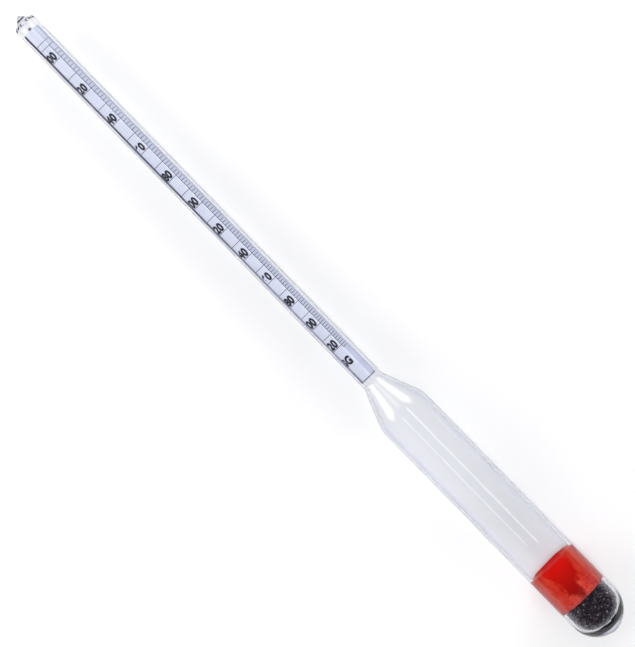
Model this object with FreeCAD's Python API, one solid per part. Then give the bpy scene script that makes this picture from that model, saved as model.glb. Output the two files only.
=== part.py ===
import FreeCAD, Part

import math
import os
import random

# A plain-form glass hydrometer for brewing and winemaking, lying on its side on a table.
# It is a sealed glass float: a wide float body with shot held down by wax, and a thin stem
# that is welded to it and holds a rolled paper scale.
#
# Frame: millimetres, +Z up, the table at Z = 0. The glass axis is level, with the stem's tip
# towards +X. The origin is on the table under the middle of the hydrometer's length.
# The parts are drawn about the X axis first. There, s is the distance from the float's foot
# along the axis, and r is the distance from the axis. lay_down() moves them to the table.

V = FreeCAD.Vector

# Glass envelope
TOTAL_LENGTH = 250.0
FLOAT_RADIUS = 8.45
STEM_RADIUS = 3.6
WALL = 0.9
SEAM_S = 101.8               # the flame weld between the stem and the float body
FLOAT_BORE = FLOAT_RADIUS - WALL
STEM_BORE = STEM_RADIUS - WALL

# Rounded foot: a dome with a blunt nose, outside and inside
FOOT_HEIGHT = 9.2
FOOT_NOSE_RADIUS = 5.0
FOOT_THICKNESS = 2.4         # solid glass left where the tube was sealed
INNER_FOOT_HEIGHT = 7.0
INNER_FOOT_NOSE_RADIUS = 8.0

# Sloping shoulder from the float's cylinder up to the stem
SHOULDER_SLOPE = 22.0        # degrees from the axis
SHOULDER_RADIUS = 12.0
NECK_RADIUS = 2.0

# Sealed tip of the stem: a rounded end with a short drawn point
TIP_SLOPE = 45.0
TIP_NOSE_RADIUS = 0.35
TIP_ROOT_RADIUS = 0.5        # the hollow between the point and the rounded end
TIP_END_RADIUS = 1.1
TIP_END_TURN = 80.0          # degrees
STEM_BORE_END_S = 246.2      # where the bore starts to close
STEM_BORE_END_HEIGHT = 1.3
STEM_BORE_END_NOSE = 4.0

# Paper scale: a strip rolled a little over one turn
PAPER_START_S = 103.0
PAPER_END_S = 244.0
PAPER_THICKNESS = 0.1
PAPER_PITCH = 0.115          # how far each turn of the roll lies outside the last one
PAPER_TURNS = 1.3
PAPER_OUTER_RADIUS = 2.68
PAPER_EDGE_ANGLE = 12.0      # where the roll's outer edge lies, in degrees from +Y to +Z
PAPER_POINTS_PER_TURN = 24

# Dab of glue between the paper's end and the bore
GLUE_RADIUS = 0.5
GLUE_ANGLE = 90.0            # on the upper side
GLUE_SINK = 0.1              # how much of the dab is flattened on the paper and the bore

# Ballast shot and the wax plug on it
PELLET_RADIUS = 0.6
PELLET_GAP = 0.01
PELLET_TRIES = 400
PELLET_SEED = 142
WAX_BOTTOM_S = 13.9
WAX_BOTTOM_WAVE = 0.25
WAX_BOTTOM_WAVES = 2.5
WAX_BOTTOM_POINTS = 16
WAX_TOP_S = 26.7
WAX_MENISCUS = 0.8           # how far the wax climbs the glass

# Scale law and densities, for the flotation figures that the script prints
SG_1000_S = 232.4            # where the 1.000 line is
GLASS_DENSITY = 2.5e-3       # grams per cubic millimetre
PAPER_DENSITY = 0.8e-3
WAX_DENSITY = 1.1e-3
SHOT_DENSITY = 7.2e-3
WATER_DENSITY = 0.998e-3

SHORTEST_LINE = 1e-7         # a line shorter than this is left out of an outline


class Outline:
    """A half-section beside the axis, drawn as straight runs and tangent arcs."""

    def __init__(self, s, r, heading):
        self.first_s = s
        self.s = s
        self.r = r
        self.heading = math.radians(heading)
        self.edges = []

    def line_to(self, s, r):
        if math.hypot(s - self.s, r - self.r) > SHORTEST_LINE:
            self.edges.append(Part.makeLine(V(self.s, self.r, 0), V(s, r, 0)))
        self.s = s
        self.r = r

    def run(self, length):
        self.line_to(
            self.s + length * math.cos(self.heading),
            self.r + length * math.sin(self.heading),
        )

    def arc(self, radius, turn):
        """Turn by so many degrees on an arc; a positive turn is anticlockwise."""
        side = math.copysign(1.0, turn)
        centre_s = self.s - side * radius * math.sin(self.heading)
        centre_r = self.r + side * radius * math.cos(self.heading)

        def on_arc(heading):
            return V(
                centre_s + side * radius * math.sin(heading),
                max(0.0, centre_r - side * radius * math.cos(heading)),
                0,
            )

        end_heading = self.heading + math.radians(turn)
        middle = on_arc((self.heading + end_heading) / 2)
        end = on_arc(end_heading)
        self.edges.append(Part.Arc(V(self.s, self.r, 0), middle, end).toShape())
        self.s = end.x
        self.r = end.y
        self.heading = end_heading

    def curve_to(self, points):
        """Follow a smooth curve through the points, from here to the last one."""
        curve = Part.BSplineCurve()
        curve.interpolate([V(self.s, self.r, 0)] + [V(s, r, 0) for s, r in points])
        self.edges.append(curve.toShape())
        self.s, self.r = points[-1]

    def solid(self):
        """Close the outline along the axis and turn it once round."""
        self.line_to(self.s, 0)
        self.line_to(self.first_s, 0)
        face = Part.Face(Part.Wire(self.edges))
        turned = face.revolve(V(0, 0, 0), V(1, 0, 0), 360)
        return Part.Solid(turned.Shells[0])


def dome(outline, height, radius, nose_radius, hand):
    """Draw a dome from its apex on the axis to a cylinder, as a nose arc and a side arc.

    hand is -1 for a dome at the foot end, and 1 for one at the tip end.
    """
    side_radius = (height**2 - 2 * height * nose_radius + radius**2) / (2 * (radius - nose_radius))
    nose_turn = math.degrees(math.asin((side_radius - radius) / (side_radius - nose_radius)))
    outline.arc(nose_radius, hand * nose_turn)
    outline.arc(side_radius, hand * (90 - nose_turn))


def shoulder_sizes():
    """The shoulder's straight run, and its whole length along the axis."""
    slope = math.radians(SHOULDER_SLOPE)
    both = SHOULDER_RADIUS + NECK_RADIUS
    drop = FLOAT_RADIUS - STEM_RADIUS - both * (1 - math.cos(slope))
    run = drop / math.sin(slope)
    return run, run * math.cos(slope) + both * math.sin(slope)


SHOULDER_RUN, SHOULDER_LENGTH = shoulder_sizes()
CYLINDER_END_S = SEAM_S - SHOULDER_LENGTH


def float_outline(offset, foot_s, foot_height, nose_radius):
    """The float body's skin from the foot to the weld, moved inwards by an offset."""
    outline = Outline(foot_s, 0, 90)
    dome(outline, foot_height, FLOAT_RADIUS - offset, nose_radius, -1)
    outline.line_to(CYLINDER_END_S, FLOAT_RADIUS - offset)
    outline.arc(SHOULDER_RADIUS - offset, -SHOULDER_SLOPE)
    outline.run(SHOULDER_RUN)
    outline.arc(NECK_RADIUS + offset, SHOULDER_SLOPE)
    return outline


def float_outside():
    return float_outline(0, 0, FOOT_HEIGHT, FOOT_NOSE_RADIUS).solid()


def float_cavity():
    return float_outline(WALL, FOOT_THICKNESS, INNER_FOOT_HEIGHT, INNER_FOOT_NOSE_RADIUS).solid()


def float_body():
    return float_outside().cut(float_cavity())


def stem_outside():
    """The stem from its point down to the weld."""
    slope = math.radians(TIP_SLOPE)
    end_turn = math.radians(TIP_END_TURN)
    nose_rise = TIP_NOSE_RADIUS * math.cos(slope)
    root_rise = TIP_ROOT_RADIUS * (math.cos(slope) - math.cos(end_turn))
    end_rise = TIP_END_RADIUS * (1 - math.cos(end_turn))
    cone_run = (STEM_RADIUS - nose_rise - root_rise - end_rise) / math.sin(slope)
    outline = Outline(TOTAL_LENGTH, 0, 90)
    outline.arc(TIP_NOSE_RADIUS, 90 - TIP_SLOPE)
    outline.run(cone_run)
    outline.arc(TIP_ROOT_RADIUS, TIP_SLOPE - TIP_END_TURN)
    outline.arc(TIP_END_RADIUS, TIP_END_TURN)
    outline.line_to(SEAM_S, STEM_RADIUS)
    return outline.solid()


def stem_cavity():
    """The stem's bore, from its domed end down to the weld."""
    outline = Outline(STEM_BORE_END_S + STEM_BORE_END_HEIGHT, 0, 90)
    dome(outline, STEM_BORE_END_HEIGHT, STEM_BORE, STEM_BORE_END_NOSE, 1)
    outline.line_to(SEAM_S, STEM_BORE)
    return outline.solid()


def stem_tube():
    return stem_outside().cut(stem_cavity())


def paper_radius(turns):
    """The paper's outer face, from the roll's outer edge inwards."""
    return PAPER_OUTER_RADIUS - PAPER_PITCH * turns


def paper_edge(inset):
    """One face of the rolled strip across the stem, as a smooth spiral."""
    points = []
    for i in range(round(PAPER_TURNS * PAPER_POINTS_PER_TURN) + 1):
        turns = i / PAPER_POINTS_PER_TURN
        angle = math.radians(PAPER_EDGE_ANGLE) + 2 * math.pi * turns
        radius = paper_radius(turns) - inset
        points.append(V(PAPER_START_S, radius * math.cos(angle), radius * math.sin(angle)))
    curve = Part.BSplineCurve()
    curve.interpolate(points)
    return curve.toShape(), points[0], points[-1]


def paper_scale():
    outer, outer_start, outer_end = paper_edge(0)
    inner, inner_start, inner_end = paper_edge(PAPER_THICKNESS)
    start = Part.makeLine(outer_start, inner_start)
    end = Part.makeLine(outer_end, inner_end)
    section = Part.Face(Part.Wire([outer, end, inner, start]))
    return section.extrude(V(PAPER_END_S - PAPER_START_S, 0, 0))


def scale_glue():
    """A dab that touches the paper's end face and the bore, flattened where it touches them."""
    angle = math.radians(GLUE_ANGLE)
    reach = STEM_BORE + GLUE_SINK - GLUE_RADIUS
    centre = V(
        PAPER_END_S + GLUE_RADIUS - GLUE_SINK,
        reach * math.cos(angle),
        reach * math.sin(angle),
    )
    dab = Part.makeSphere(GLUE_RADIUS, centre)
    room = Part.makeCylinder(
        STEM_BORE, 2 * GLUE_RADIUS, V(PAPER_END_S, 0, 0), V(1, 0, 0)
    )
    return dab.common(room).Solids[0]


def wax_bottom_s(r):
    """The wax's lower face, which set wavy on the shot."""
    return WAX_BOTTOM_S + WAX_BOTTOM_WAVE * math.cos(
        2 * math.pi * WAX_BOTTOM_WAVES * r / FLOAT_BORE
    )


def wax_plug():
    outline = Outline(wax_bottom_s(0), 0, 90)
    radii = [FLOAT_BORE * (i + 1) / WAX_BOTTOM_POINTS for i in range(WAX_BOTTOM_POINTS)]
    outline.curve_to([(wax_bottom_s(r), r) for r in radii])
    outline.line_to(WAX_TOP_S + WAX_MENISCUS, FLOAT_BORE)
    hollow_radius = (FLOAT_BORE**2 + WAX_MENISCUS**2) / (2 * WAX_MENISCUS)
    hollow_turn = math.degrees(math.asin(FLOAT_BORE / hollow_radius))
    outline.heading = math.radians(270 - hollow_turn)
    outline.arc(hollow_radius, hollow_turn)
    return outline.solid()


def pellet_floor_s(r):
    """The lowest a pellet's centre can lie in the foot's bore, at a distance from the axis."""
    nose = INNER_FOOT_NOSE_RADIUS
    side = (INNER_FOOT_HEIGHT**2 - 2 * INNER_FOOT_HEIGHT * nose + FLOAT_BORE**2) / (
        2 * (FLOAT_BORE - nose)
    )
    clear = PELLET_RADIUS + PELLET_GAP
    side_r = FLOAT_BORE - side
    nose_share = side_r / (nose - side)
    if r <= (nose - clear) * nose_share:
        return FOOT_THICKNESS + nose - math.sqrt((nose - clear) ** 2 - r**2)
    return FOOT_THICKNESS + INNER_FOOT_HEIGHT - math.sqrt((side - clear) ** 2 - (r - side_r) ** 2)


def column_of(y, z):
    """The square column of the float, one pellet across, that a place is in."""
    return round(y / (2 * PELLET_RADIUS)), round(z / (2 * PELLET_RADIUS))


def pellet_rest_s(y, z, columns):
    """Where a pellet that is let down at y, z comes to rest on the bore or the pile."""
    apart = (2 * PELLET_RADIUS + PELLET_GAP) ** 2
    rest = pellet_floor_s(math.hypot(y, z))
    column_y, column_z = column_of(y, z)
    for step_y in (-1, 0, 1):
        for step_z in (-1, 0, 1):
            for other in columns.get((column_y + step_y, column_z + step_z), ()):
                across = (y - other.y) ** 2 + (z - other.z) ** 2
                if across < apart:
                    rest = max(rest, other.x + math.sqrt(apart - across))
    return rest


def pellet_centres():
    """Fill the foot: each pellet takes the lowest of several places picked by chance."""
    chance = random.Random(PELLET_SEED)
    reach = FLOAT_BORE - PELLET_RADIUS - PELLET_GAP
    ceiling = WAX_BOTTOM_S - WAX_BOTTOM_WAVE - PELLET_RADIUS - PELLET_GAP
    placed = []
    columns = {}
    while True:
        best = None
        for _ in range(PELLET_TRIES):
            r = reach * math.sqrt(chance.random())
            angle = 2 * math.pi * chance.random()
            y = r * math.cos(angle)
            z = r * math.sin(angle)
            s = pellet_rest_s(y, z, columns)
            if best is None or s < best.x:
                best = V(s, y, z)
        if best.x > ceiling:
            return placed
        placed.append(best)
        columns.setdefault(column_of(best.y, best.z), []).append(best)


def ballast_shot():
    return Part.makeCompound([Part.makeSphere(PELLET_RADIUS, c) for c in pellet_centres()])


def lay_down(shape):
    """Move a part from the glass axis to its place over the table."""
    moved = shape.copy()
    moved.translate(V(-TOTAL_LENGTH / 2, 0, FLOAT_RADIUS))
    return moved


def print_flotation(parts):
    """Compare the mass with the water that the glass pushes aside up to the 1.000 line."""
    densities = {
        "stem_tube": GLASS_DENSITY,
        "float_body": GLASS_DENSITY,
        "paper_scale": PAPER_DENSITY,
        "scale_glue": WAX_DENSITY,
        "wax_plug": WAX_DENSITY,
        "ballast_shot": SHOT_DENSITY,
    }
    masses = {name: parts[name].Volume * density for name, density in densities.items()}
    for name, grams in masses.items():
        print(f"{name}: {grams:.2f} g, valid {parts[name].isValid()}")
    wet = float_outside().Volume + math.pi * STEM_RADIUS**2 * (SG_1000_S - SEAM_S)
    print(f"mass {sum(masses.values()):.2f} g, water displaced at 1.000 {wet * WATER_DENSITY:.2f} g")
    print(f"pellets {len(parts['ballast_shot'].Solids)}, cylinder ends at s = {CYLINDER_END_S:.2f}")


def main():
    parts = {
        "stem_tube": stem_tube(),
        "float_body": float_body(),
        "paper_scale": paper_scale(),
        "scale_glue": scale_glue(),
        "wax_plug": wax_plug(),
        "ballast_shot": ballast_shot(),
    }
    os.makedirs("parts", exist_ok=True)
    for name, shape in parts.items():
        lay_down(shape).exportStep(f"parts/{name}.step")
    print_flotation(parts)


main()
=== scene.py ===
import math
import random

import bmesh
import bpy
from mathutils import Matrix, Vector, noise


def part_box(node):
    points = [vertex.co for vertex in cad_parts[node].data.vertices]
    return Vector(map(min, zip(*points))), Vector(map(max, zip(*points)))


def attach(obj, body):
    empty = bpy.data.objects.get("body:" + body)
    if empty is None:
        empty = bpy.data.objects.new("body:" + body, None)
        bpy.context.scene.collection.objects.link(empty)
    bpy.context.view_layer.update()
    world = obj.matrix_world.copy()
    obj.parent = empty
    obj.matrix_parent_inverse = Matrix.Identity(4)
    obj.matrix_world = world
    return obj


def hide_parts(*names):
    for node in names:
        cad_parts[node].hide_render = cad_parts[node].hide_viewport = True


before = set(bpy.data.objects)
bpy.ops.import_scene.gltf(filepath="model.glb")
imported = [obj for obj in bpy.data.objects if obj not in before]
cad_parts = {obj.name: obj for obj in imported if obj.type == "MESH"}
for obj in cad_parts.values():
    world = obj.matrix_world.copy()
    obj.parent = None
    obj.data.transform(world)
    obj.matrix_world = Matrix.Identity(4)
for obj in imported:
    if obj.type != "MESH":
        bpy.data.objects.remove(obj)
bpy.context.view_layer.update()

# A glass hydrometer lying on a pale table. Everything is in metres, in the frame's axes:
# the glass axis is level along X, with the float's foot at low X and the stem's tip at high X.
# s is the distance from the foot along the axis, and r the distance from the axis.
MM = 0.001

float_low, float_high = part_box("float_body")
stem_low, stem_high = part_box("stem_tube")
paper_low, paper_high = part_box("paper_scale")
wax_low, wax_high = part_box("wax_plug")
shot_low, shot_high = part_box("ballast_shot")
glue_low, glue_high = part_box("scale_glue")

FOOT_X = float_low.x
TIP_X = stem_high.x
SEAM_X = stem_low.x
AXIS_Z = (float_low.z + float_high.z) / 2
FLOAT_R = (float_high.z - float_low.z) / 2
STEM_R = (stem_high.z - stem_low.z) / 2
FLOAT_BORE = (wax_high.z - wax_low.z) / 2
WALL = FLOAT_R - FLOAT_BORE
STEM_BORE = STEM_R - WALL

# The glass outline, as the CAD parts have it
FOOT_HEIGHT = 9.2 * MM
FOOT_NOSE_R = 5.0 * MM
FOOT_THICKNESS = 2.4 * MM
INNER_FOOT_HEIGHT = 7.0 * MM
INNER_FOOT_NOSE_R = 8.0 * MM
SHOULDER_SLOPE = 22.0
SHOULDER_R = 12.0 * MM
NECK_R = 2.0 * MM
TIP_SLOPE = 45.0
TIP_NOSE_R = 0.35 * MM
TIP_ROOT_R = 0.5 * MM
TIP_END_R = 1.1 * MM
TIP_END_TURN = 80.0
BORE_END_X = FOOT_X + 246.2 * MM
BORE_END_HEIGHT = 1.3 * MM
BORE_END_NOSE = 4.0 * MM

ROUND = 144                  # points round a turned piece
ARC_STEP = 4.0               # degrees between the points of an arc
RUN_STEP = 2.0 * MM          # length between the points of a straight run
SHARP_ANGLE = 35.0           # an edge that turns more than this stays sharp
ON_AXIS = 1e-7               # a point nearer to the axis than this is on it

# The printed scale
PAPER_R = 2.68 * MM
PAPER_PITCH = 0.115 * MM     # how much nearer to the axis each turn of the roll lies
PAPER_THICKNESS = 0.1 * MM
PAPER_TURNS = 1.3
PAPER_EDGE_ANGLE = 12.0      # degrees from +Y towards +Z, where the roll's outer edge lies
SG_1000_X = FOOT_X + 232.4 * MM
VOLUME_OVER_AREA = 648.1 * MM  # the volume under the 1.000 line by the stem's section
INK_LIFT = 0.006 * MM
INK_THICKNESS = 0.006 * MM
INK_STEP = 0.2 * MM          # length of the flats of a bar that is bent round the paper


class Outline:
    """A half-section beside the glass axis, drawn as straight runs and tangent arcs."""

    def __init__(self, x, r, heading):
        self.heading = math.radians(heading)
        self.points = [(x, r)]

    def line_to(self, x, r):
        from_x, from_r = self.points[-1]
        length = math.hypot(x - from_x, r - from_r)
        steps = max(1, math.ceil(length / RUN_STEP))
        for i in range(1, steps + 1):
            share = i / steps
            self.points.append((from_x + (x - from_x) * share, from_r + (r - from_r) * share))

    def run(self, length):
        x, r = self.points[-1]
        self.line_to(x + length * math.cos(self.heading), r + length * math.sin(self.heading))

    def arc(self, radius, turn):
        """Turn by so many degrees on an arc; a positive turn is anticlockwise."""
        side = math.copysign(1.0, turn)
        x, r = self.points[-1]
        centre_x = x - side * radius * math.sin(self.heading)
        centre_r = r + side * radius * math.cos(self.heading)
        steps = max(2, math.ceil(abs(turn) / ARC_STEP))
        start = self.heading
        for i in range(1, steps + 1):
            heading = start + math.radians(turn) * i / steps
            along = centre_x + side * radius * math.sin(heading)
            out = centre_r - side * radius * math.cos(heading)
            self.points.append((along, max(0.0, out)))
        self.heading = start + math.radians(turn)


def dome(outline, height, radius, nose_radius, hand):
    """A dome from its apex on the axis to a cylinder; hand is -1 at the foot end, 1 at the tip end."""
    side_radius = (height**2 - 2 * height * nose_radius + radius**2) / (2 * (radius - nose_radius))
    nose_turn = math.degrees(math.asin((side_radius - radius) / (side_radius - nose_radius)))
    outline.arc(nose_radius, hand * nose_turn)
    outline.arc(side_radius, hand * (90 - nose_turn))


def float_skin(inset, foot_x, foot_height, nose_radius):
    """The float's outline from the foot to the weld, moved inwards by an inset."""
    slope = math.radians(SHOULDER_SLOPE)
    both = SHOULDER_R + NECK_R
    run = (FLOAT_R - STEM_R - both * (1 - math.cos(slope))) / math.sin(slope)
    cylinder_end = SEAM_X - run * math.cos(slope) - both * math.sin(slope)
    outline = Outline(foot_x, 0, 90)
    dome(outline, foot_height, FLOAT_R - inset, nose_radius, -1)
    outline.line_to(cylinder_end, FLOAT_R - inset)
    outline.arc(SHOULDER_R - inset, -SHOULDER_SLOPE)
    outline.run(run)
    outline.arc(NECK_R + inset, SHOULDER_SLOPE)
    return outline.points


def stem_skin():
    """The stem's outside from its point down to the weld."""
    slope = math.radians(TIP_SLOPE)
    end_turn = math.radians(TIP_END_TURN)
    nose_rise = TIP_NOSE_R * math.cos(slope)
    root_rise = TIP_ROOT_R * (math.cos(slope) - math.cos(end_turn))
    end_rise = TIP_END_R * (1 - math.cos(end_turn))
    outline = Outline(TIP_X, 0, 90)
    outline.arc(TIP_NOSE_R, 90 - TIP_SLOPE)
    outline.run((STEM_R - nose_rise - root_rise - end_rise) / math.sin(slope))
    outline.arc(TIP_ROOT_R, TIP_SLOPE - TIP_END_TURN)
    outline.arc(TIP_END_R, TIP_END_TURN)
    outline.line_to(SEAM_X + WELD_GAP, STEM_R)
    return outline.points


def stem_bore_skin():
    """The stem's bore from its closed end down to the weld."""
    outline = Outline(BORE_END_X + BORE_END_HEIGHT, 0, 90)
    dome(outline, BORE_END_HEIGHT, STEM_BORE, BORE_END_NOSE, 1)
    outline.line_to(SEAM_X + WELD_GAP, STEM_BORE)
    return outline.points


def on_axis(x, r, angle):
    """The point beside the glass axis at an angle from +Y towards +Z."""
    return Vector((x, r * math.cos(angle), AXIS_Z + r * math.sin(angle)))


def lathe(name, outline, shift=None):
    """Turn an outline that starts and ends on the axis into a closed mesh.

    shift(x, r, angle) gives a small change of x and r, for hand-worked unevenness.
    """
    mesh = bmesh.new()
    rings = []
    for x, r in outline:
        if r < ON_AXIS:
            rings.append([mesh.verts.new(on_axis(x, 0, 0))])
            continue
        ring = []
        for i in range(ROUND):
            angle = 2 * math.pi * i / ROUND
            dx, dr = shift(x, r, angle) if shift else (0.0, 0.0)
            ring.append(mesh.verts.new(on_axis(x + dx, r + dr, angle)))
        rings.append(ring)
    for a, b in zip(rings, rings[1:]):
        for i in range(ROUND):
            j = (i + 1) % ROUND
            if len(a) == 1:
                mesh.faces.new((a[0], b[j], b[i]))
            elif len(b) == 1:
                mesh.faces.new((a[i], a[j], b[0]))
            else:
                mesh.faces.new((a[i], a[j], b[j], b[i]))
    bmesh.ops.recalc_face_normals(mesh, faces=mesh.faces)
    return to_object(name, mesh)


def to_object(name, mesh, smooth=True):
    """Turn a bmesh into an object, smooth but for its sharp edges."""
    data = bpy.data.meshes.new(name)
    mesh.to_mesh(data)
    mesh.free()
    for polygon in data.polygons:
        polygon.use_smooth = smooth
    if smooth:
        data.set_sharp_from_angle(angle=math.radians(SHARP_ANGLE))
    piece = bpy.data.objects.new(name, data)
    bpy.context.scene.collection.objects.link(piece)
    return piece


def finish_piece(piece, material, slot, *nodes):
    """Give a piece its material, hang it from the root body and hide the CAD parts that it stands for; slot
    is not used.
    """
    piece.data.materials.append(material)
    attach(piece, "root")
    if nodes:
        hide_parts(*nodes)


# ---------------------------------------------------------------- materials


class Nodes:
    """A new material with its Principled shader, and short ways to add nodes."""

    def __init__(self, name):
        self.material = bpy.data.materials.new(name)
        self.material.use_nodes = True
        self.tree = self.material.node_tree
        self.shader = self.tree.nodes["Principled BSDF"]
        self.output = self.tree.nodes["Material Output"]

    def set(self, **values):
        for name, value in values.items():
            self.shader.inputs[name.replace("_", " ")].default_value = value

    def add(self, kind, **inputs):
        node = self.tree.nodes.new(kind)
        for name, value in inputs.items():
            node.inputs[name.replace("_", " ")].default_value = value
        return node

    def link(self, a, b):
        self.tree.links.new(a, b)

    def place(self, scale=(1, 1, 1)):
        """Object coordinates in millimetres, stretched by scale."""
        coords = self.add("ShaderNodeTexCoord")
        mapping = self.add("ShaderNodeMapping")
        mapping.inputs["Scale"].default_value = [1000 * k for k in scale]
        self.link(coords.outputs["Object"], mapping.inputs["Vector"])
        return mapping.outputs["Vector"]

    def where(self, axis):
        """One of the object's own coordinates, in metres."""
        coords = self.add("ShaderNodeTexCoord")
        split = self.add("ShaderNodeSeparateXYZ")
        self.link(coords.outputs["Object"], split.inputs[0])
        return split.outputs[axis]

    def noise(self, where, scale, detail=4.0, roughness=0.55):
        node = self.add("ShaderNodeTexNoise", Scale=scale, Detail=detail, Roughness=roughness)
        self.link(where, node.inputs["Vector"])
        return node.outputs["Fac"]

    def ramp(self, source, *stops):
        node = self.add("ShaderNodeValToRGB")
        elements = node.color_ramp.elements
        while len(elements) < len(stops):
            elements.new(0.5)
        for element, (place, colour) in zip(elements, stops):
            element.position = place
            element.color = (*colour, 1.0)
        self.link(source, node.inputs["Fac"])
        return node.outputs["Color"]

    def level(self, source, low, high, out_low, out_high):
        node = self.add("ShaderNodeMapRange")
        node.inputs["From Min"].default_value = low
        node.inputs["From Max"].default_value = high
        node.inputs["To Min"].default_value = out_low
        node.inputs["To Max"].default_value = out_high
        self.link(source, node.inputs["Value"])
        return node.outputs["Result"]

    def mix(self, share, a, b, blend="MIX"):
        node = self.add("ShaderNodeMix")
        node.data_type = "RGBA"
        node.blend_type = blend
        for source, socket in ((share, node.inputs[0]), (a, node.inputs[6]), (b, node.inputs[7])):
            if isinstance(source, (int, float)):
                socket.default_value = source
            elif isinstance(source, tuple):
                socket.default_value = (*source, 1.0)
            else:
                self.link(source, socket)
        return node.outputs[2]

    def math(self, operation, a, b=0.0):
        node = self.add("ShaderNodeMath")
        node.operation = operation
        for source, socket in ((a, node.inputs[0]), (b, node.inputs[1])):
            if isinstance(source, (int, float)):
                socket.default_value = source
            else:
                self.link(source, socket)
        return node.outputs[0]

    def bump(self, height, strength, distance):
        node = self.add("ShaderNodeBump", Strength=strength, Distance=distance)
        self.link(height, node.inputs["Height"])
        self.link(node.outputs["Normal"], self.shader.inputs["Normal"])


GLASS_IOR = 1.5
GLASS_DEPTH_COLOUR = (0.20, 0.26, 0.40, 1.0)
GLASS_DEPTH_DENSITY = 62.0   # per metre
GLASS_SHADE = (0.985, 0.985, 0.988, 1.0)  # what each side of the glass leaves of a lamp's light
DRAW_LINE_RELIEF = 0.05 * MM


def glass_material():
    """Drawn glass: blue-grey with depth, with painted shade that darkens it towards its edges, and faint
    draw lines; lamps shine through it.
    """
    nodes = Nodes("clear_glass")
    nodes.set(Roughness=0.0, IOR=GLASS_IOR, Transmission_Weight=1.0)
    # Painted shade: the colour turns a darker blue-grey as the surface turns away from the view, for the
    # glass's dark outline.
    edge = nodes.add("ShaderNodeLayerWeight", Blend=0.5)
    nodes.link(
        nodes.ramp(
            edge.outputs["Facing"],
            (0.20, (1.0, 1.0, 1.0)),
            (0.44, (0.84, 0.85, 0.90)),
            (0.62, (0.72, 0.73, 0.81)),
            (0.88, (0.50, 0.51, 0.60)),
        ),
        nodes.shader.inputs["Base Color"],
    )
    depth = nodes.add("ShaderNodeVolumeAbsorption", Color=GLASS_DEPTH_COLOUR, Density=GLASS_DEPTH_DENSITY)
    nodes.link(depth.outputs["Volume"], nodes.output.inputs["Volume"])
    draw_lines = nodes.noise(nodes.place((0.02, 1, 1)), 1.3, 2.0)
    nodes.bump(draw_lines, 0.15, DRAW_LINE_RELIEF)
    path = nodes.add("ShaderNodeLightPath")
    clear = nodes.add("ShaderNodeBsdfTransparent", Color=GLASS_SHADE)
    both = nodes.add("ShaderNodeMixShader")
    nodes.link(path.outputs["Is Shadow Ray"], both.inputs[0])
    nodes.link(nodes.shader.outputs[0], both.inputs[1])
    nodes.link(clear.outputs[0], both.inputs[2])
    nodes.link(both.outputs[0], nodes.output.inputs["Surface"])
    return nodes.material


SIDE_TINT = (0.79, 0.81, 0.85)
SIDE_TINT_START_Y = -0.70 * MM  # where the darker tint on the roll's -Y side starts
SIDE_TINT_FULL_Y = -0.76 * MM


def paper_material():
    """Matt scale paper with fine fibres and faint blotches, and a darker blue-grey on the roll's -Y side.
    """
    nodes = Nodes("scale_paper")
    nodes.set(Roughness=0.8, IOR=1.45)
    fibres = nodes.noise(nodes.place((1, 3, 3)), 6.0, 6.0)
    blotches = nodes.noise(nodes.place(), 0.25, 3.0)
    white = nodes.ramp(blotches, (0.3, (0.66, 0.69, 0.81)), (0.7, (0.73, 0.75, 0.86)))
    fibrous = nodes.mix(nodes.level(fibres, 0.35, 0.75, 0.0, 0.35), white, (0.58, 0.61, 0.75))
    on_side = nodes.level(nodes.where("Y"), SIDE_TINT_START_Y, SIDE_TINT_FULL_Y, 0.0, 1.0)
    tinted = nodes.mix(1.0, fibrous, SIDE_TINT, "MULTIPLY")
    nodes.link(nodes.mix(on_side, fibrous, tinted), nodes.shader.inputs["Base Color"])
    nodes.bump(fibres, 0.3, 0.02 * MM)
    return nodes.material


def ink_material():
    """Blue-black printing ink that covers a little unevenly."""
    nodes = Nodes("printing_ink")
    nodes.set(Roughness=0.55)
    cover = nodes.noise(nodes.place(), 9.0, 5.0)
    nodes.link(
        nodes.ramp(cover, (0.35, (0.006, 0.006, 0.014)), (0.75, (0.025, 0.025, 0.05))),
        nodes.shader.inputs["Base Color"],
    )
    return nodes.material


POOL_HALF_LOW = 0.8 * MM     # half-width of the dark pool at the wax's foot
POOL_HALF_HIGH = 4.2 * MM    # and near its top
POOL_WANDER = 1.2 * MM
POOL_FADE_START = -0.4 * MM
POOL_FADE_END = 0.6 * MM


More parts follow.
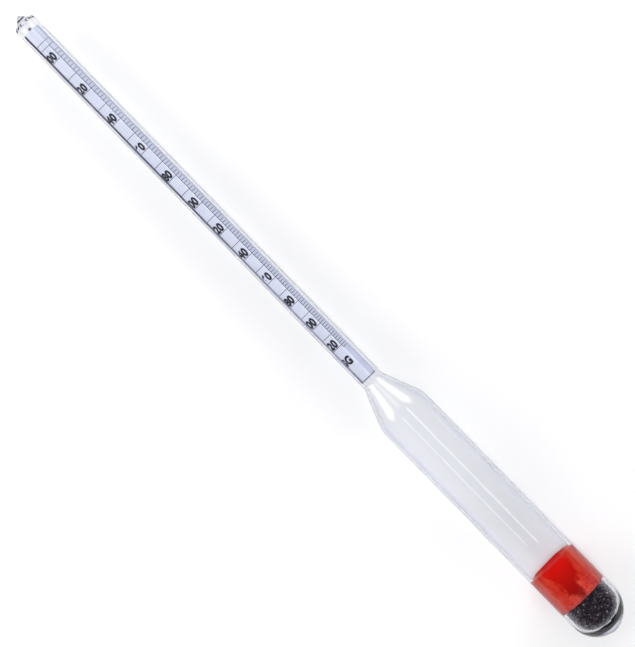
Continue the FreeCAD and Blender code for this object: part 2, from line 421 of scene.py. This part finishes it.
def wax_material():
    """Red sealing wax that lies against the glass: deepest where it pooled, chalky near the shot."""
    nodes = Nodes("sealing_wax")
    nodes.set(IOR=1.44, Specular_IOR_Level=0.02, Subsurface_Weight=0.12, Subsurface_Scale=0.8 * MM)
    nodes.shader.inputs["Subsurface Radius"].default_value = (1.0, 0.10, 0.04)
    clouds = nodes.noise(nodes.place((0.55, 1, 1)), 0.38, 6.0, 0.62)
    grains = nodes.noise(nodes.place(), 1.7, 6.0, 0.72)
    red = nodes.ramp(
        clouds,
        (0.34, (0.47, 0.006, 0.001)),
        (0.46, (0.57, 0.020, 0.004)),
        (0.58, (0.64, 0.042, 0.015)),
        (0.72, (0.62, 0.082, 0.045)),
    )
    height = nodes.level(nodes.where("X"), wax_low.x, wax_high.x, 0.0, 1.0)
    side = nodes.math("ABSOLUTE", nodes.where("Y"))
    pool_edge = nodes.level(height, 0.0, 0.85, POOL_HALF_LOW, POOL_HALF_HIGH)
    inside_pool = nodes.math("SUBTRACT", pool_edge, side)
    wander = nodes.level(clouds, 0.3, 0.7, POOL_WANDER, -POOL_WANDER)
    depth = nodes.math("ADD", inside_pool, wander)
    pool = nodes.level(depth, POOL_FADE_START, POOL_FADE_END, 0.0, 0.95)
    core = nodes.mix(height, (0.14, 0.001, 0.0005), (0.64, 0.003, 0.0005))
    pooled = nodes.mix(pool, red, core)
    near_shot = nodes.level(height, 0.10, 0.45, 1.0, 0.25)
    beside_pool = nodes.math("SUBTRACT", near_shot, nodes.math("MULTIPLY", pool, 0.7))
    chalk = nodes.math("MULTIPLY", nodes.level(grains, 0.42, 0.58, 0.0, 0.9), beside_pool)
    chalky = nodes.mix(chalk, pooled, (0.55, 0.10, 0.085))
    nodes.link(
        nodes.mix(nodes.level(height, 0.0, 0.10, 0.7, 0.0), chalky, (0.33, 0.07, 0.07)),
        nodes.shader.inputs["Base Color"],
    )
    nodes.link(nodes.level(grains, 0.3, 0.7, 0.4, 0.6), nodes.shader.inputs["Roughness"])
    nodes.bump(grains, 0.4, 0.1 * MM)
    return nodes.material


def shot_material():
    """Dull dark metal grains, each with its own tone."""
    nodes = Nodes("shot_metal")
    nodes.set(Metallic=0.75, Roughness=0.4)
    tone = nodes.add("ShaderNodeAttribute")
    tone.attribute_name = "tone"
    colour = nodes.ramp(
        tone.outputs["Fac"],
        (0.0, (0.026, 0.013, 0.022)),
        (0.50, (0.090, 0.055, 0.082)),
        (0.80, (0.18, 0.13, 0.18)),
        (0.94, (0.27, 0.26, 0.28)),
        (1.0, (0.42, 0.45, 0.44)),
    )
    dust = nodes.noise(nodes.place(), 4.0, 4.0)
    nodes.link(
        nodes.mix(nodes.level(dust, 0.4, 0.7, 0.0, 0.4), colour, (0.035, 0.030, 0.040)),
        nodes.shader.inputs["Base Color"],
    )
    nodes.link(nodes.level(dust, 0.3, 0.7, 0.3, 0.6), nodes.shader.inputs["Roughness"])
    nodes.bump(dust, 0.3, 0.05 * MM)
    return nodes.material


def painted_shade_material():
    """Painted shade on the paper: dark at the top, paler towards the float, and dark again at its end."""
    nodes = Nodes("painted_shade_on_paper")
    nodes.set(Roughness=0.6)
    height = nodes.level(nodes.where("X"), paper_low.x, paper_high.x, 0.0, 1.0)
    shade_along = nodes.ramp(
        height,
        (0.0, (0.16, 0.15, 0.24)),
        (0.05, (0.36, 0.36, 0.48)),
        (0.30, (0.26, 0.27, 0.36)),
        (0.45, (0.062, 0.066, 0.10)),
        (0.82, (0.050, 0.052, 0.09)),
        (0.92, (0.016, 0.016, 0.034)),
    )
    # Paler patches in the painted shade
    patches = nodes.noise(nodes.place((0.4, 1, 1)), 1.2, 4.0)
    nodes.link(
        nodes.mix(nodes.level(patches, 0.45, 0.75, 0.0, 0.3), shade_along, (0.45, 0.45, 0.56)),
        nodes.shader.inputs["Base Color"],
    )
    return nodes.material


def glue_material():
    """Cloudy dried glue."""
    nodes = Nodes("dried_glue")
    nodes.set(Roughness=0.35)
    cloud = nodes.noise(nodes.place(), 3.0, 3.0)
    nodes.link(
        nodes.ramp(cloud, (0.3, (0.10, 0.10, 0.13)), (0.7, (0.22, 0.22, 0.27))),
        nodes.shader.inputs["Base Color"],
    )
    return nodes.material


# ---------------------------------------------------------------- glass


WELD_GAP = 0.005 * MM
WELD_WAVE = 0.3 * MM
WELD_REACH = 1.2 * MM
DRAWN_UNEVEN = 0.02 * MM
DRAWN_LENGTH = 9 * MM
EVEN_END = 12 * MM           # how far from the foot and the tip the flame has evened the glass


def drawn_glass(x, r, angle):
    """Drawn tube isn't quite round, by a few hundredths of a millimetre, and the flame weld wanders."""
    round_place = 2.0 * Vector((0, math.cos(angle), math.sin(angle)))
    near_weld = math.exp(-(((x - SEAM_X) / WELD_REACH) ** 2))
    along = WELD_WAVE * near_weld * noise.noise(round_place)
    inwards = 0.5 + 0.5 * noise.noise(round_place + Vector((x / DRAWN_LENGTH, 0, 0)))
    from_end = min(x - FOOT_X, TIP_X - x) / EVEN_END
    return along, -DRAWN_UNEVEN * inwards * min(1.0, from_end**2)


def add_glass(material):
    """The float with its cavity, and the stem with its bore."""
    float_outline = float_skin(0, FOOT_X, FOOT_HEIGHT, FOOT_NOSE_R)
    cavity = float_skin(WALL, FOOT_X + FOOT_THICKNESS, INNER_FOOT_HEIGHT, INNER_FOOT_NOSE_R)
    body = lathe("float_glass", float_outline + cavity[::-1], drawn_glass)
    finish_piece(body, material, "clear_glass", "float_body")
    stem = lathe("stem_glass", stem_skin() + stem_bore_skin()[::-1], drawn_glass)
    finish_piece(stem, material, "clear_glass", "stem_tube")


# ---------------------------------------------------------------- paper scale


def roll_radius(turns):
    """The paper's outer radius, so many turns in from its outer edge."""
    return PAPER_R - PAPER_PITCH * turns


def add_paper(material):
    """The rolled strip, with its real thickness and its overlap."""
    mesh = bmesh.new()
    steps = round(PAPER_TURNS * ROUND)
    length_steps = 70
    grids = []
    for inset in (0.0, PAPER_THICKNESS):
        grid = []
        for i in range(steps + 1):
            turns = i / ROUND
            angle = math.radians(PAPER_EDGE_ANGLE) + 2 * math.pi * turns
            row = []
            for j in range(length_steps + 1):
                x = paper_low.x + (paper_high.x - paper_low.x) * j / length_steps
                row.append(mesh.verts.new(on_axis(x, roll_radius(turns) - inset, angle)))
            grid.append(row)
        grids.append(grid)
    outer, inner = grids
    for i in range(steps):
        for j in range(length_steps):
            mesh.faces.new((outer[i][j], outer[i + 1][j], outer[i + 1][j + 1], outer[i][j + 1]))
            mesh.faces.new((inner[i][j], inner[i][j + 1], inner[i + 1][j + 1], inner[i + 1][j]))
    for i in range(steps):
        for j in (0, length_steps):
            mesh.faces.new((outer[i][j], outer[i + 1][j], inner[i + 1][j], inner[i][j]))
    for j in range(length_steps):
        for i in (0, steps):
            mesh.faces.new((outer[i][j], outer[i][j + 1], inner[i][j + 1], inner[i][j]))
    bmesh.ops.recalc_face_normals(mesh, faces=mesh.faces)
    finish_piece(to_object("paper_roll", mesh), material, "scale_paper", "paper_scale")


# ---------------------------------------------------------------- wax and shot


WAX_LUMPS = 3.1              # how many lumps of unevenness lie across the plug
WAX_LOW_WANDER = 0.35 * MM
WAX_LOW_REACH = 2.5 * MM
WAX_HIGH_WANDER = 0.2 * MM
WAX_HIGH_REACH = 1.5 * MM
WAX_FOOT_GAP = 0.3 * MM
WAX_RIPPLE = 0.25 * MM
WAX_RIPPLE_STEP = 0.9
WAX_FIT = 0.015 * MM         # how far the wax goes into the glass, so that no gap shows
WAX_MENISCUS = 0.8 * MM
WAX_RINGS = 24
WAX_SIDE_RINGS = 20


def wax_surface(x, r, angle):
    """Uneven where the wax set: the lower rim wanders, and the top rim climbs unevenly."""
    out = WAX_LUMPS * r / FLOAT_BORE
    place = Vector((out * math.cos(angle), out * math.sin(angle), 0.7))
    low = max(0.0, 1 - (x - wax_low.x) / WAX_LOW_REACH)
    high = max(0.0, 1 - (wax_high.x - x) / WAX_HIGH_REACH)
    low_wander = WAX_LOW_WANDER * low * (noise.noise(place * 2) + 0.3)
    high_wander = WAX_HIGH_WANDER * high * (noise.noise(place) + 0.5)
    return low_wander - high_wander, 0.0


def add_wax(material):
    """The plug, with a rippled foot and a top that climbs the glass."""
    bottom = wax_low.x + WAX_FOOT_GAP
    top = wax_high.x
    radius = FLOAT_BORE + WAX_FIT
    outline = [(bottom, 0.0)]
    for i in range(1, WAX_RINGS + 1):
        share = i / WAX_RINGS
        ripple = WAX_RIPPLE * math.sin(i * WAX_RIPPLE_STEP) * (1 - share)
        outline.append((bottom + ripple, radius * share))
    for i in range(1, WAX_SIDE_RINGS + 1):
        outline.append((bottom + (top - bottom) * i / WAX_SIDE_RINGS, radius))
    for i in range(WAX_RINGS - 1, -1, -1):
        share = i / WAX_RINGS
        outline.append((top - WAX_MENISCUS * (1 - share**4), radius * share))
    plug = lathe("wax_seal", outline, wax_surface)
    finish_piece(plug, material, "sealing_wax", "wax_plug")


GRAIN_R = 0.42 * MM
GRAIN_CLEAR = 1.08           # a grain's centre stays this many radii off the glass
GRAIN_CEILING = 0.4 * MM     # how far the grains' centres go up into the wax
GRAIN_SMALLEST = 0.86
GRAIN_LUMP = 0.08
GRAIN_TRIES = 60
GRAIN_SEED = 7


def grain_floor(r):
    """The lowest x that a grain's centre can have in the foot's bore, at a distance from the axis."""
    nose = INNER_FOOT_NOSE_R
    side = (INNER_FOOT_HEIGHT**2 - 2 * INNER_FOOT_HEIGHT * nose + FLOAT_BORE**2) / (
        2 * (FLOAT_BORE - nose)
    )
    side_r = FLOAT_BORE - side
    foot = FOOT_X + FOOT_THICKNESS
    if r <= (nose - GRAIN_R) * side_r / (nose - side):
        return foot + nose - math.sqrt((nose - GRAIN_R) ** 2 - r**2)
    return foot + INNER_FOOT_HEIGHT - math.sqrt(max(0.0, (side - GRAIN_R) ** 2 - (r - side_r) ** 2))


def grain_centres():
    """Fill the foot: each grain takes the lowest of several places picked by chance."""
    chance = random.Random(GRAIN_SEED)
    reach = FLOAT_BORE - GRAIN_CLEAR * GRAIN_R
    ceiling = wax_low.x + GRAIN_CEILING
    apart = (2 * GRAIN_R) ** 2
    columns = {}
    placed = []
    while True:
        best = None
        for _ in range(GRAIN_TRIES):
            r = reach * math.sqrt(chance.random())
            angle = 2 * math.pi * chance.random()
            y = r * math.cos(angle)
            z = r * math.sin(angle)
            x = grain_floor(r)
            column_y = round(y / (2 * GRAIN_R))
            column_z = round(z / (2 * GRAIN_R))
            for near_y in (column_y - 1, column_y, column_y + 1):
                for near_z in (column_z - 1, column_z, column_z + 1):
                    for other in columns.get((near_y, near_z), ()):
                        across = (y - other.y) ** 2 + (z - other.z) ** 2
                        if across < apart:
                            x = max(x, other.x + math.sqrt(apart - across))
            if best is None or x < best.x:
                best = Vector((x, y, z))
        if best.x > ceiling:
            return placed
        placed.append(best)
        column = round(best.y / (2 * GRAIN_R)), round(best.z / (2 * GRAIN_R))
        columns.setdefault(column, []).append(best)


def add_shot(material):
    """Every grain is a small lumpy ball with its own tone."""
    chance = random.Random(GRAIN_SEED + 1)
    ball = bmesh.new()
    bmesh.ops.create_icosphere(ball, subdivisions=2, radius=1.0)
    corners = [vert.co.copy() for vert in ball.verts]
    triangles = [[vert.index for vert in face.verts] for face in ball.faces]
    ball.free()
    points = []
    faces = []
    tones = []
    for centre in grain_centres():
        first = len(points)
        stretch = [GRAIN_R * chance.uniform(GRAIN_SMALLEST, 1.0) for _ in range(3)]
        seed = centre / (0.2 * MM)
        value = chance.random()
        for corner in corners:
            lump = 1 - GRAIN_LUMP * (0.5 + 0.5 * noise.noise(corner + seed))
            points.append((
                centre.x + corner.x * stretch[0] * lump,
                centre.y + corner.y * stretch[1] * lump,
                centre.z + corner.z * stretch[2] * lump + AXIS_Z,
            ))
            tones.append(value)
        faces += [[first + k for k in triangle] for triangle in triangles]
    data = bpy.data.meshes.new("shot_grains")
    data.from_pydata(points, [], faces)
    data.shade_smooth()
    data.attributes.new("tone", "FLOAT", "POINT").data.foreach_set("value", tones)
    piece = bpy.data.objects.new("shot_grains", data)
    bpy.context.scene.collection.objects.link(piece)
    finish_piece(piece, material, "shot", "ballast_shot")


# ---------------------------------------------------------------- printing and painted shade on the paper


def wrap(x, u, lift):
    """A place on the paper: u is the distance round it from the top line, to the -Y side."""
    turn = u / PAPER_R
    edge = math.radians(90 - PAPER_EDGE_ANGLE)
    turns = max(0.0, (turn + edge) / (2 * math.pi))
    r = roll_radius(turns) + lift
    return Vector((x, -r * math.sin(turn), AXIS_Z + r * math.cos(turn)))


def ink_bar(mesh, x_low, x_high, u_low, u_high):
    """A bar with a real edge, bent round the paper: the printed lines, and the dark lines of painted shade.
    """
    steps = max(1, math.ceil((u_high - u_low) / INK_STEP))
    rows = []
    for i in range(steps + 1):
        u = u_low + (u_high - u_low) * i / steps
        corners = ((x_low, 0), (x_high, 0), (x_high, 1), (x_low, 1))
        rows.append([mesh.verts.new(wrap(x, u, INK_LIFT + k * INK_THICKNESS)) for x, k in corners])
    for a, b in zip(rows, rows[1:]):
        for k in range(4):
            mesh.faces.new((a[k], a[(k + 1) % 4], b[(k + 1) % 4], b[k]))
    mesh.faces.new(rows[0][::-1])
    mesh.faces.new(rows[-1])


LINE_U = 0.74 * MM           # the line along the scale, which the short ticks start from
TICK_END_U = 2.25 * MM
LONG_START_U = -2.35 * MM    # the far end of the long lines, and the inner edge of the broad band of painted shade
# Where the broad band of painted shade starts, on the +Y side
SHADE_BAND_START_U = -3.1 * MM
SHADE_LINE_U = 2.45 * MM     # the inner edge of the fine line of painted shade
# Length of the dark line of painted shade across the paper's foot
FOOT_SHADE_LENGTH = 0.35 * MM
LINE_WIDTH = 0.16 * MM
TICK_WIDTH = 0.17 * MM
STEP_SG = 0.002
FIRST_STEP = -2              # the scale starts two steps above the 1.000 line
LAST_STEP = 111
LONG_EVERY = 5               # steps from one long line to the next
HEAD_LINE = 4.8 * MM         # the scale's head line, above the 1.000 line
TOP_RULE = 6.65 * MM
# How far the painted shade stops short of the paper's ends
SHADE_MARGIN = 0.1 * MM


def line_x(sg):
    """Where a hydrometer of this volume and stem floats in a liquid of that gravity."""
    return SG_1000_X - VOLUME_OVER_AREA * (1 - 1 / sg)


def add_lines(material):
    """The fine scale, its long lines, two lines above it and one down its side."""
    mesh = bmesh.new()
    for i in range(FIRST_STEP, LAST_STEP + 1):
        x = line_x(1 + STEP_SG * i)
        long_line = i % LONG_EVERY == 0 and i >= 0
        start = LONG_START_U if long_line else LINE_U
        ink_bar(mesh, x - TICK_WIDTH / 2, x + TICK_WIDTH / 2, start, TICK_END_U)
    head = SG_1000_X + HEAD_LINE
    ink_bar(mesh, head - LINE_WIDTH / 2, head + LINE_WIDTH / 2, LONG_START_U, TICK_END_U)
    rule = SG_1000_X + TOP_RULE
    ink_bar(mesh, rule - LINE_WIDTH / 2, rule + LINE_WIDTH / 2, LONG_START_U, TICK_END_U)
    foot = line_x(1 + STEP_SG * LAST_STEP)
    ink_bar(mesh, foot, head, LINE_U - LINE_WIDTH / 2, LINE_U + LINE_WIDTH / 2)
    bmesh.ops.recalc_face_normals(mesh, faces=mesh.faces)
    finish_piece(to_object("scale_lines", mesh, smooth=False), material, "scale_paper")


def add_painted_shade(material):
    """Painted shade on the paper: a broad dark band down one side of the scale, a fine dark line down the
    other, and a dark line across its foot.
    """
    mesh = bmesh.new()
    low = paper_low.x + SHADE_MARGIN
    high = paper_high.x - SHADE_MARGIN
    ink_bar(mesh, low, high, SHADE_BAND_START_U, LONG_START_U)
    ink_bar(mesh, low, high, SHADE_LINE_U, SHADE_LINE_U + LINE_WIDTH)
    ink_bar(mesh, low, low + FOOT_SHADE_LENGTH, LONG_START_U, SHADE_LINE_U)
    bmesh.ops.recalc_face_normals(mesh, faces=mesh.faces)
    finish_piece(to_object("painted_shade_lines", mesh, smooth=False), material, "scale_paper")


DIGIT_HEIGHT = 2.7 * MM
DIGIT_CUT = 0.2 * MM         # width of the strips that the digits are cut into
DIGIT_BOLDER = 0.06          # added all round a digit, as a share of the font's size
DIGIT_SPACING = 1.08         # times the font's own
DIGIT_DEPTH = 0.01           # the flat digits' half-thickness, before they are laid on the paper
DIGIT_NARROW = 0.66          # width of the digits as a share of the font's own
LABEL_RIGHT_U = 0.02 * MM
LABEL_ABOVE = 0.45 * MM      # from a line to the foot of its number
LABELS = 12
LABEL_STEP_SG = 0.02
UNIT_S = 109.6 * MM


def add_label(text, x_base, material, name):
    """Digits that stand upright along the stem, cut into strips so that they bend round the paper."""
    curve = bpy.data.curves.new(name, "FONT")
    curve.body = text
    curve.align_x = "RIGHT"
    curve.size = 1.0
    curve.offset = DIGIT_BOLDER
    curve.space_character = DIGIT_SPACING
    curve.extrude = DIGIT_DEPTH
    flat = bpy.data.objects.new(name, curve)
    bpy.context.scene.collection.objects.link(flat)
    depsgraph = bpy.context.evaluated_depsgraph_get()
    data = bpy.data.meshes.new_from_object(flat.evaluated_get(depsgraph))
    bpy.data.objects.remove(flat)
    mesh = bmesh.new()
    mesh.from_mesh(data)
    bpy.data.meshes.remove(data)
    top = max(v.co.y for v in mesh.verts)
    tall = DIGIT_HEIGHT / top
    wide = tall * DIGIT_NARROW
    left = min(v.co.x for v in mesh.verts)
    cut = left
    while cut < 0:
        geometry = mesh.verts[:] + mesh.edges[:] + mesh.faces[:]
        bmesh.ops.bisect_plane(mesh, geom=geometry, plane_co=(cut, 0, 0), plane_no=(1, 0, 0))
        cut += DIGIT_CUT / wide
    for vert in mesh.verts:
        lift = INK_LIFT + (INK_THICKNESS if vert.co.z > 0 else 0.0)
        vert.co = wrap(x_base + vert.co.y * tall, LABEL_RIGHT_U + vert.co.x * wide, lift)
    bmesh.ops.recalc_face_normals(mesh, faces=mesh.faces)
    finish_piece(to_object(name, mesh, smooth=False), material, "scale_paper")


def add_labels(material):
    """The last two digits of every number, and the unit at the paper's foot."""
    for i in range(LABELS):
        sg = 1 + LABEL_STEP_SG * i
        add_label(f"{sg:.3f}"[3:], line_x(sg) + LABEL_ABOVE, material, f"scale_number_{i:02d}")
    add_label("SG", FOOT_X + UNIT_S, material, "scale_unit")


def add_glue(material):
    """The CAD model's own dab of glue, with a better material."""
    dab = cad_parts["scale_glue"]
    dab.data.materials.clear()
    dab.data.materials.append(material)


# ---------------------------------------------------------------- stage


FLOOR_HALF = 3.0             # half of the table's side


def add_floor():
    """A plain pale table."""
    data = bpy.data.meshes.new("table")
    corners = [(x * FLOOR_HALF, y * FLOOR_HALF, 0) for x, y in ((-1, -1), (1, -1), (1, 1), (-1, 1))]
    data.from_pydata(corners, [], [(0, 1, 2, 3)])
    floor = bpy.data.objects.new("table", data)
    bpy.context.scene.collection.objects.link(floor)
    nodes = Nodes("pale_table")
    nodes.set(Roughness=0.9, Specular_IOR_Level=0.0)
    cloud = nodes.noise(nodes.place(), 0.02, 2.0)
    nodes.link(
        nodes.ramp(cloud, (0.3, (0.90, 0.90, 0.90)), (0.7, (0.92, 0.92, 0.92))),
        nodes.shader.inputs["Base Color"],
    )
    data.materials.append(nodes.material)


HORIZON = (0.26, 0.26, 0.30)
DOME = (0.09, 0.09, 0.10)
HORIZON_TOP = 0.05           # the horizon's colour ends at this height of the sky's unit sphere
DOME_FOOT = 0.60             # and the dome's colour starts here
KEY_STRENGTH = 1.38
KEY_SOFTNESS = 12.0          # degrees across
KEY_TILT = -5.0              # degrees from straight down, from the +Y side
CARD_FADE = 0.75
MIDDLE_FADE = 0.9


def add_light(name, where, target, size_x, size_y, watts):
    """A rectangular soft lamp."""
    data = bpy.data.lights.new(name, "AREA")
    data.shape = "RECTANGLE"
    data.size = size_x
    data.size_y = size_y
    data.energy = watts
    lamp = bpy.data.objects.new(name, data)
    lamp.location = where
    lamp.rotation_euler = (Vector(target) - Vector(where)).to_track_quat("-Z", "Y").to_euler()
    bpy.context.scene.collection.objects.link(lamp)
    return lamp


def keep_out_of_glass(lamp):
    """Light the surfaces, but don't show in mirror reflections or through the glass."""
    lamp.visible_glossy = False
    lamp.visible_transmission = False


def soften(lamp, edge):
    """Fade a rectangular lamp towards its sides; edge is the share of its half-width that fades."""
    lamp.data.use_nodes = True
    tree = lamp.data.node_tree
    place = tree.nodes.new("ShaderNodeNewGeometry")
    split = tree.nodes.new("ShaderNodeSeparateXYZ")
    both = tree.nodes.new("ShaderNodeMath")
    both.operation = "MULTIPLY"
    tree.links.new(place.outputs["Parametric"], split.inputs[0])
    for k, axis in enumerate("XY"):
        centred = tree.nodes.new("ShaderNodeMath")
        centred.operation = "SUBTRACT"
        centred.inputs[1].default_value = 0.5
        tree.links.new(split.outputs[axis], centred.inputs[0])
        off_middle = tree.nodes.new("ShaderNodeMath")
        off_middle.operation = "ABSOLUTE"
        tree.links.new(centred.outputs[0], off_middle.inputs[0])
        fade = tree.nodes.new("ShaderNodeMapRange")
        fade.interpolation_type = "SMOOTHSTEP"
        fade.inputs["From Min"].default_value = 0.5 * (1 - edge)
        fade.inputs["From Max"].default_value = 0.5
        fade.inputs["To Min"].default_value = 1.0
        fade.inputs["To Max"].default_value = 0.0
        tree.links.new(off_middle.outputs[0], fade.inputs["Value"])
        tree.links.new(fade.outputs["Result"], both.inputs[k])
    tree.links.new(both.outputs[0], tree.nodes["Emission"].inputs["Strength"])


def add_key():
    """A soft lamp overhead."""
    data = bpy.data.lights.new("key", "SUN")
    data.energy = KEY_STRENGTH
    data.angle = math.radians(KEY_SOFTNESS)
    lamp = bpy.data.objects.new("key", data)
    lamp.rotation_euler = (math.radians(KEY_TILT), 0, 0)
    keep_out_of_glass(lamp)
    bpy.context.scene.collection.objects.link(lamp)


def add_sky():
    """A dim dome that fades from a brighter horizon."""
    world = bpy.data.worlds.new("studio")
    world.use_nodes = True
    bpy.context.scene.world = world
    tree = world.node_tree
    coords = tree.nodes.new("ShaderNodeTexCoord")
    split = tree.nodes.new("ShaderNodeSeparateXYZ")
    ramp = tree.nodes.new("ShaderNodeValToRGB")
    low, high = ramp.color_ramp.elements
    low.position = HORIZON_TOP
    low.color = (*HORIZON, 1.0)
    high.position = DOME_FOOT
    high.color = (*DOME, 1.0)
    tree.links.new(coords.outputs["Generated"], split.inputs[0])
    tree.links.new(split.outputs["Z"], ramp.inputs["Fac"])
    tree.links.new(ramp.outputs["Color"], tree.nodes["Background"].inputs["Color"])


def add_lights():
    """The key and the sky, and lamps for what the glass shows.

    The strip makes the long highlight, the cards the bright patches on the shoulder, and the fill
    lightens the shade under the foot.
    """
    add_sky()
    add_key()
    # Each lamp's place and the point that it is aimed at, its width, its height and its watts
    add_light("strip", (0.105, -0.47, 1.2), (0.105, 0, 0), 0.69, 0.16, 0.75)
    shoulder = (-0.03, 0, 0)
    for side in (-1, 1):
        card = add_light(f"card_{side}", (0.495, side * 0.47, 0.35), shoulder, 0.95, 0.62, 7.4)
        soften(card, CARD_FADE)
    middle = add_light("card_middle", (0.51, 0, 0.56), shoulder, 0.50, 0.40, 0.8)
    soften(middle, MIDDLE_FADE)
    fill = add_light("fill", (-0.80, 0, 0.24), (-0.09, 0, 0), 0.80, 0.30, 4.0)
    keep_out_of_glass(fill)


CAMERA_DISTANCE = 0.77       # above the glass axis
CAMERA_SENSOR = 36.0
CAMERA_VIEW = 0.18874        # the length that the picture's longer side takes in, at the glass axis
CAMERA_ROLL = -134.305       # degrees
CAMERA_SHIFT = Vector((-0.22 * MM, -0.10 * MM, 0))


def add_camera():
    """Straight above the middle of the hydrometer, looking down."""
    data = bpy.data.cameras.new("camera")
    data.sensor_width = CAMERA_SENSOR
    data.lens = CAMERA_DISTANCE * CAMERA_SENSOR / CAMERA_VIEW
    camera = bpy.data.objects.new("camera", data)
    camera.rotation_euler = (0, 0, math.radians(CAMERA_ROLL))
    camera.location = Vector(((FOOT_X + TIP_X) / 2, 0, AXIS_Z + CAMERA_DISTANCE)) + CAMERA_SHIFT
    bpy.context.scene.collection.objects.link(camera)
    bpy.context.scene.camera = camera


def set_render():
    """Plain colours, and enough bounces for light to get through the walls of the glass."""
    scene = bpy.context.scene
    scene.view_settings.view_transform = "Standard"
    scene.cycles.max_bounces = 24
    scene.cycles.transmission_bounces = 20
    scene.cycles.transparent_max_bounces = 24


def main():
    add_glass(glass_material())
    add_paper(paper_material())
    add_wax(wax_material())
    add_shot(shot_material())
    ink = ink_material()
    add_lines(ink)
    add_painted_shade(painted_shade_material())
    add_labels(ink)
    add_glue(glue_material())
    add_floor()
    add_lights()
    add_camera()
    set_render()


main()
